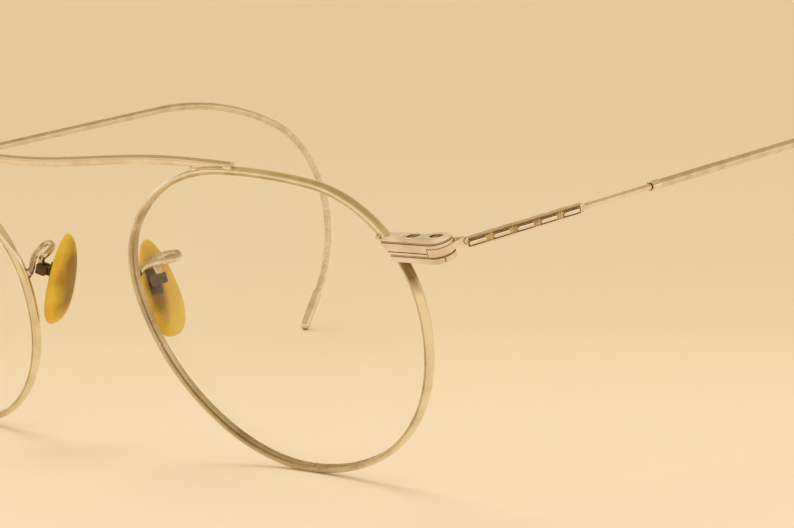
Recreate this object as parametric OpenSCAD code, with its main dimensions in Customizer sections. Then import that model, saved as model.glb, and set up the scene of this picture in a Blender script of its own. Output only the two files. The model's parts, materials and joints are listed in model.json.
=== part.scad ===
// Wire-framed eyeglasses with cable temples, lying open on a table.
// They rest on the lower edges of both rims and on the tips of both temples.
// Sizes are in millimetres. +X is the wearer's left, +Y runs back to the ears, +Z is up.

/* [Lenses] */
// Height of a lens
lens_h = 38.56; // [36:0.02:42]
// Reach of a lens from its upright axis towards the temple
lens_temporal = 25; // [23:0.1:27]
// Reach of a lens from its upright axis towards the nose
lens_nasal = 20.8; // [19:0.1:22]
// Distance between the two lenses
lens_gap = 20.9; // [18:0.1:24]
// Radius of both upper corners of a lens
shoulder_r = 14.2; // [13:0.1:15.5]
// Turn of the brow arc on the temple side
brow_turn_temporal = 10; // [8:0.5:13]
// Turn of the brow arc on the nose side
brow_turn_nasal = 45; // [40:0.5:48]
// Turn of the bottom arc on the temple side
low_turn_temporal = 28; // [24:0.5:34]
// Turn of the bottom arc on the nose side
low_turn_nasal = 34; // [30:0.5:40]
// Thickness of a lens
lens_t = 1.5; // [1.4:0.1:2]
// Radius of the lens surfaces
lens_curve_r = 350; // [330:1:520]
// Rise of the front surface before the middle plane of the rim
lens_dome = 1.3; // [1.25:0.05:1.6]
// Height of the bevel around the edge of a lens
bevel_h = 0.35; // [0.25:0.01:0.4]
// Half the width of that bevel at its root
bevel_w = 0.42; // [0.3:0.01:0.5]
// Clearance between a lens and the groove that holds it
lens_clear = 0.05; // [0.02:0.01:0.1]

/* [Rims] */
// Depth of the rim wire, front to back
rim_depth = 1.3; // [1.2:0.05:1.6]
// Height of the rim wire outside the edge of the lens
rim_out = 0.48; // [0.4:0.01:0.6]
// Height of the rim wire inside the edge of the lens
rim_lip = 0.3; // [0.25:0.01:0.35]
// Radius of the rounded outer side of the rim wire
rim_round = 0.9; // [0.85:0.05:1.4]
// Distance from the top of the lens down to the cut that opens each rim
split_drop = 8.24; // [7.8:0.02:9.4]
// Width of that cut
split_w = 0.1; // [0.06:0.01:0.2]

/* [Bridge] */
// Height of the bridge bar
bar_h = 1.15; // [0.8:0.05:1.6]
// Thickness of the bridge bar, front to back
bar_t = 0.9; // [0.7:0.05:1.3]
// Top of the bar above the top of the lenses, at the middle
bar_rise = 1.25; // [1.1:0.05:2.5]
// Further rise of the bar at its two crests
crest_rise = 0.35; // [0.2:0.05:1.2]
// Distance of a crest from the middle
crest_x = 18; // [15:0.5:20]
// Distance from the middle at which the bar lands on a rim
land_x = 26.7; // [25:0.1:28]
// Distance from the middle at which the bar ends
bar_end_x = 32.9; // [31:0.1:35]
// Height of the bar at its ends
bar_end_h = 0.55; // [0.4:0.05:0.9]
// Bow of the bar towards the front
bar_bow = 1.5; // [0.5:0.1:3]

/* [End pieces] */
// Distance from the edge of the lens to the hinge screw
block_len = 6.2; // [6:0.05:7]
// Reach of the block before the middle plane of the rim
block_front = 1.3; // [1.15:0.05:1.5]
// Reach of the block behind the middle plane of the rim
block_back = 0.95; // [0.9:0.05:1]
// Height of the block above the split
block_up = 1.8; // [1.75:0.05:2.1]
// Height of the block below the split
block_down = 1.2; // [1.1:0.05:1.4]
// Angle by which the top of the block falls to the back
deck_fall = 12; // [8:1:13]
// Angle of the bevel at the rim end of the block
end_bevel = 25; // [20:1:30]
// Radius of the hinge knuckles
knuckle_r = 1.7; // [1.65:0.05:1.8]
// Radius of the ridge grooves
groove_r = 0.13; // [0.08:0.01:0.18]
// Height of the upper groove above the split
groove_up = 1.1; // [0.9:0.05:1.3]
// Distance from the hinge screw to the closing screw
closing_x = 2.75; // [2.65:0.05:3]
// Radius of both screw shanks
shank_r = 0.42; // [0.3:0.01:0.5]
// Radius of both screw heads
head_r = 0.75; // [0.65:0.01:0.8]
// Height of both screw heads
head_h = 0.4; // [0.3:0.05:0.5]
// Width of the slot in a screw head
slot_w = 0.22; // [0.15:0.01:0.3]
// Length of the screw tip that shows under the hinge
screw_tip = 0.2; // [0.1:0.05:0.4]
// Width of the slit in the lower knuckle
slit_w = 0.12; // [0.08:0.01:0.2]
// Angle of that slit from the square of the hinge, towards the front
slit_turn = 35; // [20:1:45]
// Radial clearance of a screw in its hole
screw_clear = 0.03; // [0.01:0.01:0.06]

/* [Temples] */
// Thickness of the hinge tongue
tongue_t = 1; // [0.9:0.02:1.1]
// Height of the middle of the tongue above the split
tongue_up = 0.08; // [0:0.02:0.12]
// Clearance above, below and around the tongue
tongue_clear = 0.03; // [0.02:0.01:0.06]
// Distance of the temple bar outside the hinge screw
temple_out = 1.2; // [1.15:0.05:1.3]
// Angle between a temple and the square of the lens plane
panto = 13.8; // [8:0.1:16]
// Outward angle of an open temple
splay = 0.7; // [0:0.1:3]
// Height of the engraved bar
temple_h = 1.35; // [1.2:0.05:1.6]
// Thickness of the engraved bar
temple_t = 1.1; // [1:0.05:1.2]
// Distance from the hinge to the end of the engraved bar
temple_bar_end = 24.5; // [20:0.5:28]
// Number of raised panels on the bar
panels = 5; // [2:1:5]
// Length of a raised panel
panel_len = 2.6; // [1.8:0.1:2.8]
// Distance from one panel to the next
panel_pitch = 3.9; // [3:0.1:4]
// Distance from the hinge to the first panel
panel_start = 5; // [4.5:0.1:6]
// Height of a raised panel
panel_h = 0.72; // [0.5:0.02:0.8]
// Height of the panel above the side of the bar
panel_proud = 0.07; // [0.04:0.01:0.12]
// Radius of the plain wire and of the core
wire_r = 0.375; // [0.3:0.005:0.45]
// Distance from the hinge to the collar where the cable starts
cable_start = 37; // [32:0.5:42]
// Radius of the cable
cable_r = 0.58; // [0.5:0.01:0.7]
// Clearance between the core and the cable
core_clear = 0.03; // [0.02:0.01:0.06]
// Radius of the collar
collar_r = 0.68; // [0.62:0.01:0.85]
// Length of the collar
collar_len = 1.4; // [1:0.1:2.5]
// Distance from the hinge to the first bend
temple_straight = 76.3; // [68:0.1:84]
// Radius of the first, gentle bend
ease_r = 55; // [40:1:80]
// Turn of the first bend
ease_turn = 28; // [20:1:35]
// Radius of the hook behind the ear
hook_r = 20; // [16:0.1:24]
// Turn of the hook
hook_turn = 100; // [85:1:112]
// Length of the end tip
tip_len = 6.2; // [4:0.1:8]
// Radius of the end tip
tip_r = 0.8; // [0.75:0.01:1]

/* [Nose pads] */
// Distance of a pad centre from the middle of the nose
pad_x = 9.16; // [8.8:0.02:10.5]
// Distance of a pad centre behind the rims
pad_back = 4.3; // [4:0.02:5.5]
// Height of a pad centre above the foot of the lenses
pad_s = 20.06; // [18:0.01:22]
// Length of a pad
pad_len = 12.4; // [11:0.1:13.5]
// Width of a pad
pad_w = 4.8; // [4.4:0.1:6.4]
// Share by which a pad narrows towards its top and widens towards its foot
pad_taper = 0.32; // [0.1:0.01:0.35]
// Thickness of a pad on the nose side of its edge
pad_crown = 1.6; // [1:0.05:1.8]
// Thickness of a pad on the other side of its edge
pad_rear = 0.8; // [0.7:0.05:1.1]
// Angle by which a pad leans in towards its top
pad_frontal = 19.7; // [12:0.1:24]
// Angle by which a pad leans back towards its top
pad_vertical = 17.1; // [10:0.1:24]
// Angle by which the rear edge of a pad turns outwards
pad_splay = 11.6; // [8:0.1:30]
// Radius of the pad pin
pin_r = 0.26; // [0.2:0.01:0.32]
// Clearance of the eye on its pin and of the eye between its cheeks
pin_clear = 0.04; // [0.02:0.01:0.06]
// Height of the pin above the centre of the pad
pin_up = 0.8; // [0.4:0.1:1.4]
// Distance of the pin behind the back of the pad
pin_out = 1; // [0.95:0.05:1.3]
// Distance of the eye and its box before the middle of the width of the pad
eye_ahead = 0.8; // [0.3:0.05:0.85]
// Thickness of the eye
eye_t = 0.7; // [0.5:0.05:0.9]
// Radius of the end of the eye
eye_r = 0.52; // [0.45:0.01:0.6]
// Thickness of the sheet of the pad box
box_wall = 0.4; // [0.3:0.05:0.5]
// Radius of the pad arm wire
arm_r = 0.42; // [0.35:0.01:0.5]
// Height of the foot of a pad arm above the foot of the lenses
arm_s = 22.8; // [22.4:0.1:23.2]

/* [Hidden] */
$fn = 64;
far = 100;                 // reach of a cutting solid past what it cuts
metal = [0.74, 0.69, 0.58];
dark_metal = [0.6, 0.55, 0.45];
amber = [0.85, 0.62, 0.18];
glass = [0.9, 0.93, 0.9, 0.35];

// Lens outline, drawn in a plane with x from its upright axis and y up from its foot.
// Each half is four tangent arcs: brow, shoulder, cheek and bottom.
axis_x = lens_gap / 2 + lens_nasal;
function brow_r(reach, turn) = (reach - shoulder_r * (1 - sin(turn))) / sin(turn);
function wide_s(reach, turn) = lens_h - brow_r(reach, turn) * (1 - cos(turn)) - shoulder_r * cos(turn);
function cheek_r(reach, high, turn) =
    (reach * (1 - cos(turn)) - high * sin(turn)) / (1 - sin(turn) - cos(turn));
function bottom_r(reach, high, turn) =
    (high * (1 - sin(turn)) - reach * cos(turn)) / (1 - sin(turn) - cos(turn));
wide_temporal = wide_s(lens_temporal, brow_turn_temporal);
wide_nasal = wide_s(lens_nasal, brow_turn_nasal);
// An arc is its centre, its radius, its first angle and its sweep.
function half_arcs(reach, brow_turn, low_turn) =
    let (high = wide_s(reach, brow_turn), brow = brow_r(reach, brow_turn),
         cheek = cheek_r(reach, high, low_turn), bottom = bottom_r(reach, high, low_turn))
    [[0, bottom, bottom, -90, low_turn],
     [reach - cheek, high, cheek, low_turn - 90, 90 - low_turn],
     [reach - shoulder_r, high, shoulder_r, 0, 90 - brow_turn],
     [0, lens_h - brow, brow, 90 - brow_turn, brow_turn]];
function mirrored(a) = [-a[0], a[1], a[2], 180 - a[3] - a[4], a[4]];
temporal_arcs = half_arcs(lens_temporal, brow_turn_temporal, low_turn_temporal);
nasal_arcs = [for (a = half_arcs(lens_nasal, brow_turn_nasal, low_turn_nasal)) mirrored(a)];
lens_arcs = concat(temporal_arcs, [for (i = [3:-1:0]) nasal_arcs[i]]);
// Height of the brow over a distance from the upright axis, and the temple-side edge at a height.
function brow_s(x) = let (a = x < 0 ? nasal_arcs[3] : temporal_arcs[3]) a[1] + sqrt(a[2] * a[2] - x * x);
function temporal_x(s) =
    axis_x + lens_temporal - shoulder_r + sqrt(pow(shoulder_r, 2) - pow(s - wide_temporal, 2));

// Hinge
split_s = lens_h - split_drop;
hinge_x = temporal_x(split_s) + block_len;
hinge_b = knuckle_r - block_front;
tongue_s = split_s + tongue_up;
slot_top = tongue_s + tongue_t / 2 + tongue_clear;
slot_foot = tongue_s - tongue_t / 2 - tongue_clear;
block_top = split_s + block_up;
block_foot = split_s - block_down;
closing_b = (block_back - block_front) / 2;
closing_at = hinge_x - closing_x;
function deck_s(b) = block_top - (b + block_front) * tan(deck_fall);
function head_top(b) = deck_s(b + head_r);

// Temple path, seen from the side: straight, gentle bend, hook, straight tip
ease_end = [temple_straight + ease_r * sin(ease_turn), -ease_r * (1 - cos(ease_turn))];
hook_mid = ease_end - hook_r * [sin(ease_turn), cos(ease_turn)];
full_turn = ease_turn + hook_turn;
hook_end = hook_mid + hook_r * [sin(full_turn), cos(full_turn)];
tip_centre = hook_end + tip_len * [cos(full_turn), -sin(full_turn)];

// Rest pose: the front leans until the rim foot and the tip touch the same plane.
function front_y(p) = hinge_b + (p[0] * cos(panto) + p[1] * sin(panto)) * cos(splay);
function front_s(p) = tongue_s - p[0] * sin(panto) + p[1] * cos(panto);
foot_centre = rim_round - rim_out;
tip_y = front_y(tip_centre);
tip_s = front_s(tip_centre) - foot_centre;
lean = asin((tip_r - rim_round) / norm([tip_y, tip_s])) - atan2(tip_s, tip_y);
lift = rim_round - foot_centre * cos(lean);
// The origin is under the middle of the whole, halfway from the bridge to the hooks.
bar_mid_s = lens_h + bar_rise - bar_h / 2;
bar_half = norm([bar_t / 2 * cos(lean), bar_h / 2 * sin(lean)]);
front_edge = -(bar_bow * cos(lean) + bar_mid_s * sin(lean) + bar_half);
rear_edge = front_y(hook_mid) * cos(lean) - front_s(hook_mid) * sin(lean) + (hook_r + cable_r) * cos(splay);
mid_y = (front_edge + rear_edge) / 2;

// Nose pad frame: x out from the nose, y back along the width, z up along the length
function turn_x(a, p) = [p[0], p[1] * cos(a) - p[2] * sin(a), p[1] * sin(a) + p[2] * cos(a)];
function turn_y(a, p) = [p[0] * cos(a) + p[2] * sin(a), p[1], p[2] * cos(a) - p[0] * sin(a)];
function turn_z(a, p) = [p[0] * cos(a) - p[1] * sin(a), p[0] * sin(a) + p[1] * cos(a), p[2]];
function from_pad(p) =
    [pad_x, pad_back, pad_s] + turn_y(-pad_frontal, turn_x(-pad_vertical, turn_z(-pad_splay, p)));
pin_x = pad_rear + pin_out;
cheek_gap = eye_t + 2 * pin_clear;
box_w = cheek_gap + 2 * box_wall;
eye_room = 0.1;            // room around the eye in its box
box_half = eye_r + eye_room;
box_back_x = pin_x + box_half;
plate_len = 3.2;           // length of the plate of the eye
plate_w = 1.6;             // width of that plate
plate_t = 0.3;             // thickness of that plate
plate_sunk = 0.05;         // depth of that plate below the back of the pad
plate_x = pad_rear - plate_t - plate_sunk;

module front() { translate([0, -mid_y, lift]) rotate([lean, 0, 0]) children(); }
module right_hand() { mirror([1, 0, 0]) children(); }
// Stands a drawing up in the lens plane, with its z towards the front.
module lens_plane() { translate([axis_x, 0, 0]) rotate([90, 0, 0]) children(); }
// Points along the outline: each is an arc's centre, radius and angle there.
rim_step = 1.4;
function arc_stations(a) =
    let (steps = max(2, ceil(a[2] * a[4] * PI / 180 / rim_step)))
    [for (k = [0:steps - 1]) [a[0], a[1], a[2], a[3] + a[4] * k / steps]];
outline = [for (a = lens_arcs) each arc_stations(a)];
function at_station(t, out, depth) =
    [t[0] + (t[2] + out) * cos(t[3]), t[1] + (t[2] + out) * sin(t[3]), depth];

// Rim: a half-round wire with a groove for the bevel, swept from one side of its cut to the other
groove_depth = bevel_w * (rim_lip + lens_clear) / bevel_h;
rim_corner = acos(rim_depth / 2 / rim_round);
rim_profile = concat(
    [[lens_clear, 0], [-rim_lip, groove_depth], [-rim_lip, rim_depth / 2]],
    [for (k = [0:4]) let (t = (90 - rim_corner) * (1 - k / 2))
        [rim_out - rim_round + rim_round * cos(t), rim_round * sin(t)]],
    [[-rim_lip, -rim_depth / 2], [-rim_lip, -groove_depth]]);
cut_angle = asin((split_s - wide_temporal) / shoulder_r);
cut_half = split_w / 2 / shoulder_r * 180 / PI;
shoulder_arc = temporal_arcs[2];
rim_arcs = concat(
    [[shoulder_arc[0], shoulder_arc[1], shoulder_r, cut_angle + cut_half,
      shoulder_arc[4] - cut_angle - cut_half],
     temporal_arcs[3]],
    [for (i = [3:-1:0]) nasal_arcs[i]],
    [temporal_arcs[0], temporal_arcs[1],
     [shoulder_arc[0], shoulder_arc[1], shoulder_r, 0, cut_angle - cut_half]]);
rim_end = [shoulder_arc[0], shoulder_arc[1], shoulder_r, cut_angle - cut_half];
module rim() {
    lens_plane() skin([for (t = concat([for (a = rim_arcs) each arc_stations(a)], [rim_end]))
        [for (p = rim_profile) at_station(t, p[0], p[1])]]);
}

// Lens: rings from the back to the front, with its bevel between them
lens_mid = [(lens_temporal - lens_nasal) / 2, lens_h / 2];
inner_rings = [0.25, 0.55, 0.8];
function sag(p) = let (d = norm([p[0], p[1]] - lens_mid)) lens_curve_r - sqrt(pow(lens_curve_r, 2) - d * d);
function shrunk(p, share) = lens_mid + ([p[0], p[1]] - lens_mid) * share;
function surface_ring(share, height) =
    [for (t = outline) let (p = shrunk(at_station(t, -bevel_h, 0), share)) [p[0], p[1], height - sag(p)]];
function bevel_ring(out, depth) = [for (t = outline) at_station(t, out, depth)];
module lens() {
    back = lens_dome - lens_t;
    lens_plane() skin(concat(
        [for (share = inner_rings) surface_ring(share, back)],
        [surface_ring(1, back), bevel_ring(-bevel_h, -bevel_w), bevel_ring(0, 0),
         bevel_ring(-bevel_h, bevel_w), surface_ring(1, lens_dome)],
        [for (k = [len(inner_rings) - 1:-1:0]) surface_ring(inner_rings[k], lens_dome)]));
}

// Bridge: a bar of rounded section that bows forward and lands on both rims
bar_steps = 22;
bar_sides = 12;
function smooth(t) = (1 - cos(180 * t)) / 2;
function bar_top(x) = lens_h + bar_rise + crest_rise * (abs(x) < crest_x ? smooth(abs(x) / crest_x)
    : 1 - (crest_rise + bar_rise - rim_out - bar_end_h) / crest_rise
        * (1 - cos(90 * (abs(x) - crest_x) / (bar_end_x - crest_x))));
function rim_crest(x) = brow_s(abs(x) - axis_x) + rim_out;
function bar_foot(x) = abs(x) < land_x ? bar_top(x) - bar_h : rim_crest(x);
function bar_mid_b(x) = abs(x) < land_x ? -bar_bow * (1 - smooth(abs(x) / land_x)) : 0;
function squared(c) = sign(c) * pow(abs(c), 0.7);
function bar_ring(x) =
    let (top = bar_top(x), foot = bar_foot(x))
    [for (i = [0:bar_sides - 1]) let (t = 360 * (i + 0.5) / bar_sides)
        [x, bar_mid_b(x) + bar_t / 2 * squared(cos(t)) / squared(cos(15)),
         (top + foot) / 2 + (top - foot) / 2 * squared(sin(t)) / squared(cos(15))]];
bar_stations = [for (k = [-bar_steps:bar_steps]) bar_end_x * k / bar_steps];

// Skin of a run of rings with the same number of points
module skin(rings) {
    sides = len(rings[0]);
    last = len(rings) - 1;
    polyhedron(
        points = [for (ring = rings) for (p = ring) p],
        faces = concat(
            [[for (i = [0:sides - 1]) i]],
            [for (k = [0:last - 1]) for (i = [0:sides - 1])
                [k * sides + i, (k + 1) * sides + i,
                 (k + 1) * sides + (i + 1) % sides, k * sides + (i + 1) % sides]],
            [[for (i = [sides:-1:1]) last * sides + i % sides]]));
}
// The same with a bore: the inner rings have as many points as the outer ones
module skin_tube(outer, inner) {
    sides = len(outer[0]);
    last = len(outer) - 1;
    bore = len(outer) * sides;
    polyhedron(
        points = [for (ring = concat(outer, inner)) for (p = ring) p],
        faces = [for (i = [0:sides - 1]) let (j = (i + 1) % sides) each concat(
            [for (k = [0:last - 1]) each [
                [k * sides + i, (k + 1) * sides + i, (k + 1) * sides + j, k * sides + j],
                [bore + k * sides + i, bore + k * sides + j, bore + (k + 1) * sides + j, bore + (k + 1) * sides + i]]],
            [[i, j, bore + j, bore + i],
             [last * sides + i, bore + last * sides + i, bore + last * sides + j, last * sides + j]])]);
}
module bridge_bar() { skin([for (x = bar_stations) bar_ring(x)]); }

// End piece: a block soldered to the rim, split level with the cut in the rim
module block_plan() {
    translate([hinge_x - block_len - 2, -block_front]) square([block_len + 2, block_front + block_back]);
    translate([hinge_x, hinge_b]) circle(r = knuckle_r);
}
module ridge_groove(s) {
    translate([hinge_x - block_len - 2, -block_front, s]) rotate([0, 90, 0])
        cylinder(r = groove_r, h = block_len + 2);
    translate([hinge_x, hinge_b, s]) rotate([0, 0, -90])
        rotate_extrude(angle = 180) translate([knuckle_r, 0]) circle(r = groove_r, $fn = 16);
}
module rim_seat() {
    // Room for the rim wire and the lens, with the same arc as the shoulder of the rim
    translate([lens_temporal - shoulder_r + axis_x, 0, wide_temporal]) rotate([90, 0, 0]) {
        rotate_extrude($fn = 96) translate([shoulder_r + rim_out - rim_round, 0]) intersection() {
            circle(r = rim_round);
            translate([0, -rim_depth / 2]) square([rim_round + 1, rim_depth]);
        }
        translate([0, 0, -far / 2]) cylinder(r = shoulder_r + lens_clear, h = far, $fn = 96);
    }
}
module screw_holes() {
    for (at = [[closing_at, closing_b], [hinge_x, hinge_b]]) translate([at[0], at[1], 0]) {
        translate([0, 0, block_foot - 1]) cylinder(r = shank_r + screw_clear, h = block_up + block_down + 2);
        translate([0, 0, head_top(at[1]) - head_h - screw_clear])
            cylinder(r = head_r + screw_clear, h = head_h + 2);
    }
}
module deck_cut() {
    // Everything over the sloping top, and over the bevel at the rim end
    translate([hinge_x - far / 2, -block_front, block_top]) rotate([-deck_fall, 0, 0])
        translate([0, -1, 0]) cube([far, far, far]);
    bevel_s = split_s + groove_up + groove_r;
    translate([temporal_x(bevel_s), -far / 2, bevel_s]) rotate([0, -end_bevel, 0])
        translate([-far / 2, 0, 0]) cube([far, far, far]);
}
module stop_slit() {
    translate([hinge_x, hinge_b, block_foot - 1]) rotate([0, 0, -slit_turn])
        translate([knuckle_r - slit_w, -slit_w / 2, 0]) cube([1, slit_w, slot_foot - block_foot + 1]);
}
module end_piece(from, to) {
    difference() {
        translate([0, 0, from]) linear_extrude(to - from) block_plan();
        rim_seat();
        deck_cut();
        ridge_groove(split_s + groove_up);
        ridge_groove(slot_foot);
        translate([hinge_x, hinge_b, slot_foot])
            cylinder(r = knuckle_r + tongue_clear, h = slot_top - slot_foot);
        screw_holes();
    }
}
module end_piece_upper() { end_piece(split_s + split_w / 2, block_top); }
module end_piece_lower() {
    difference() {
        end_piece(block_foot, split_s - split_w / 2);
        stop_slit();
    }
}
module slotted_screw(at, foot, turn) {
    top = head_top(at[1]);
    translate([at[0], at[1], 0]) rotate([0, 0, turn]) difference() {
        union() {
            translate([0, 0, foot]) cylinder(r = shank_r, h = top - 0.75 * head_h - foot);
            translate([0, 0, top - head_h]) cylinder(r = head_r, h = head_h);
        }
        translate([-head_r - 1, -slot_w / 2, top - head_h / 2]) cube([2 * head_r + 2, slot_w, head_h]);
    }
}
module closing_screw() { slotted_screw([closing_at, closing_b], block_foot, 25); }
module hinge_screw() { slotted_screw([hinge_x, hinge_b], block_foot - screw_tip, 70); }

// Temple, in a frame with its origin on the hinge screw and y along the straight wire
module temple_frame() {
    translate([hinge_x, hinge_b, tongue_s]) rotate([0, 0, -splay]) rotate([-panto, 0, 0]) children();
}
neck_end = knuckle_r + 0.5;
bar_round = 0.42;          // rounding of the edges of the engraved bar
bar_root = 0.15;           // reach of the bar into its neck
module bar_section() {
    for (x = [-1, 1]) for (z = [-1, 1])
        translate([x * (temple_t / 2 - bar_round), z * (temple_h / 2 - bar_round)]) circle(r = bar_round);
    square([temple_t - 2 * bar_round, temple_h], center = true);
    square([temple_t, temple_h - 2 * bar_round], center = true);
}
module panel() {
    // Raised panel with round ends, standing on the outer side of the bar
    rotate([0, 90, 0]) linear_extrude(temple_t / 2 + panel_proud) {
        square([panel_h, panel_len - panel_h], center = true);
        for (y = [-1, 1]) translate([0, y * (panel_len - panel_h) / 2]) circle(r = panel_h / 2);
    }
}
module neck() {
    // Flat between the knuckles, and cut down to the top of the bar outside them
    rotate([0, 0, -splay]) difference() {
        translate([temple_out - temple_t / 2, 0, -tongue_t / 2]) cube([temple_t, neck_end, tongue_t]);
        rotate([-panto, 0, 0]) translate([-far / 2, knuckle_r + bar_root, temple_h / 2])
            cube([far, far, far]);
    }
}
module temple_bar() {
    difference() {
        union() {
            translate([hinge_x, hinge_b, tongue_s]) {
                translate([0, 0, -tongue_t / 2]) cylinder(r = knuckle_r, h = tongue_t);
                neck();
            }
            temple_frame() translate([temple_out, 0, 0]) {
                translate([0, neck_end - bar_root, 0]) rotate([-90, 0, 0])
                    linear_extrude(temple_bar_end - neck_end + bar_root) bar_section();
                for (k = [0:panels - 1])
                    translate([0, panel_start + panel_len / 2 + panel_pitch * k, 0]) panel();
                translate([0, temple_bar_end, 0]) sphere(r = temple_t / 2);
                translate([0, temple_bar_end - 1, 0]) rotate([-90, 0, 0])
                    cylinder(r = wire_r, h = cable_start - temple_bar_end + 1);
            }
        }
        translate([hinge_x, hinge_b, tongue_s - tongue_t])
            cylinder(r = shank_r + screw_clear, h = 2 * tongue_t);
    }
}
// Stations along the temple path: the place on it and the angle it has turned there
ease_steps = 7;
hook_steps = 17;
function path_stations(start) = concat(
    [[[start, 0], 0]],
    [for (k = [0:ease_steps - 1]) let (t = ease_turn * k / ease_steps)
        [[temple_straight, -ease_r] + ease_r * [sin(t), cos(t)], t]],
    [for (k = [0:hook_steps]) let (t = ease_turn + hook_turn * k / hook_steps)
        [hook_mid + hook_r * [sin(t), cos(t)], t]]);
wire_sides = 10;
function wire_rings(start, r) =
    [for (p = path_stations(start)) [for (i = [0:wire_sides - 1]) let (a = 360 * i / wire_sides)
        [r * sin(a), p[0][0] + r * cos(a) * sin(p[1]), p[0][1] + r * cos(a) * cos(p[1])]]];
module at_hook_end() {
    temple_frame() translate([temple_out, hook_end[0], hook_end[1]])
        rotate([-90 - full_turn, 0, 0]) children();
}
socket = 3;
module temple_core() {
    rings = wire_rings(cable_start, wire_r);
    along = (socket - core_clear) * [0, cos(full_turn), -sin(full_turn)];
    temple_frame() translate([temple_out, 0, 0])
        skin(concat(rings, [[for (p = rings[len(rings) - 1]) p + along]]));
}
module temple_cable() {
    cable_from = cable_start + collar_len / 2;
    temple_frame() translate([temple_out, 0, 0])
        skin_tube(wire_rings(cable_from, cable_r), wire_rings(cable_from, wire_r + core_clear));
}
module temple_collar() {
    temple_frame() translate([temple_out, cable_start - collar_len / 2, 0]) rotate([-90, 0, 0]) difference() {
        cylinder(r = collar_r, h = collar_len);
        translate([0, 0, -1]) cylinder(r = wire_r + core_clear, h = collar_len + 2);
    }
}
module temple_tip() {
    at_hook_end() difference() {
        union() {
            cylinder(r = tip_r, h = tip_len);
            translate([0, 0, tip_len]) sphere(r = tip_r);
        }
        translate([0, 0, -1]) cylinder(r = wire_r + core_clear, h = socket + 1);
    }
}

// Nose pads
module pad_frame() {
    translate([pad_x, pad_back, pad_s]) rotate([-pad_vertical, -pad_frontal, 0]) rotate([0, 0, -pad_splay])
        children();
}
module eye_frame() { pad_frame() translate([0, -eye_ahead, pin_up]) children(); }
pad_rings = 8;
pad_sides = 24;
function pad_ring(k) =
    let (t = -86 + 172 * k / pad_rings, wide = pow(cos(t), 0.62), x = sin(t) < 0 ? pad_crown : pad_rear)
    [for (i = [0:pad_sides - 1]) let (a = 360 * i / pad_sides)
        let (y = wide * sign(cos(a)) * pow(abs(cos(a)), 0.9), z = wide * sign(sin(a)) * pow(abs(sin(a)), 0.9))
        [x * sin(t), pad_w / 2 * y * (1 - pad_taper * z), pad_len / 2 * z]];
module nose_pad() {
    pad_frame() difference() {
        skin([for (k = [0:pad_rings]) pad_ring(k)]);
        translate([plate_x, -eye_ahead - plate_w / 2, pin_up - plate_len / 2])
            cube([plate_t + 1, plate_w, plate_len]);
    }
}
module pad_eye() {
    eye_frame() difference() {
        union() {
            translate([plate_x, -plate_w / 2, -plate_len / 2]) cube([plate_t, plate_w, plate_len]);
            translate([plate_x, -eye_t / 2, -eye_r]) cube([pin_x - plate_x, eye_t, 2 * eye_r]);
            translate([pin_x, 0, 0]) rotate([90, 0, 0]) cylinder(r = eye_r, h = eye_t, center = true);
        }
        translate([pin_x, 0, 0]) rotate([90, 0, 0])
            cylinder(r = pin_r + pin_clear, h = 2 * eye_t, center = true);
    }
}
module pad_pin() {
    eye_frame() translate([pin_x, 0, 0]) rotate([90, 0, 0]) cylinder(r = pin_r, h = box_w, center = true);
}
module pad_box() {
    eye_frame() difference() {
        union() {
            translate([pin_x, 0, 0]) rotate([90, 0, 0]) cylinder(r = box_half, h = box_w, center = true);
            translate([pin_x, -box_w / 2, -box_half]) cube([box_half + box_wall, box_w, 2 * box_half]);
        }
        translate([pin_x - far / 2 + box_half, 0, 0]) cube([far, cheek_gap, far], center = true);
        translate([pin_x, 0, 0]) rotate([90, 0, 0]) cylinder(r = pin_r, h = far, center = true);
    }
}

// Pad arm: a wire that leaves the back of the rim, loops back behind the pad and comes down on its box
arm_steps = 2;
arm_sides = 8;
arm_root = [axis_x - lens_nasal - 0.1, rim_depth / 2, arm_s];
// A point over the box: how far above it, nearer the pad and further back
function over_box(rise, near, back) =
    from_pad([box_back_x + box_wall / 2 - near, back - eye_ahead, pin_up + box_half + rise]);
arm_bends = [arm_root + [0, 0.3, 0], arm_root + [0.15, 0.95, 0.35], arm_root + [0.6, 1.95, 0.72],
    arm_root + [1.2, 3.1, 0.8], arm_root + [1.8, 4.15, 0.82], arm_root + [2.07, 4.8, 0.88],
    arm_root + [1.95, 5.4, 1], arm_root + [1.35, 5.7, 1.15], arm_root + [0.55, 5.5, 1.3],
    over_box(2.3, 0.85, 0.9), over_box(1.75, 0.55, 0.3), over_box(1.1, 0.12, 0), over_box(0.45, 0, 0)];
function spline(p, i, t) =
    let (a = p[max(i - 1, 0)], b = p[i], c = p[i + 1], d = p[min(i + 2, len(p) - 1)])
    0.5 * ((2 * b) + (c - a) * t + (2 * a - 5 * b + 4 * c - d) * t * t + (3 * b - a - 3 * c + d) * t * t * t);
// Both ends of the wire run straight into the faces that they are soldered to.
arm_path = concat([arm_root],
    [for (i = [0:len(arm_bends) - 2]) for (k = [0:arm_steps - 1]) spline(arm_bends, i, k / arm_steps)],
    [arm_bends[len(arm_bends) - 1], over_box(0, 0, 0)]);
function unit(v) = v / norm(v);
function heading(p, i) = unit(p[min(i + 1, len(p) - 1)] - p[max(i - 1, 0)]);
// Side vector of each ring, carried from ring to ring without twist
function carried(p, i, side) =
    let (h = heading(p, i), s = unit(side - (side * h) * h))
    i == len(p) - 1 ? [s] : concat([s], carried(p, i + 1, s));
module wire(path, r, sides) {
    side = carried(path, 0, [0, 0, 1]);
    skin([for (k = [0:len(path) - 1]) let (across = cross(heading(path, k), side[k]))
        [for (i = [0:sides - 1]) path[k] + r * (cos(360 * i / sides) * side[k] + sin(360 * i / sides) * across)]]);
}
module pad_arm() { wire(arm_path, arm_r, arm_sides); }

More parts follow.
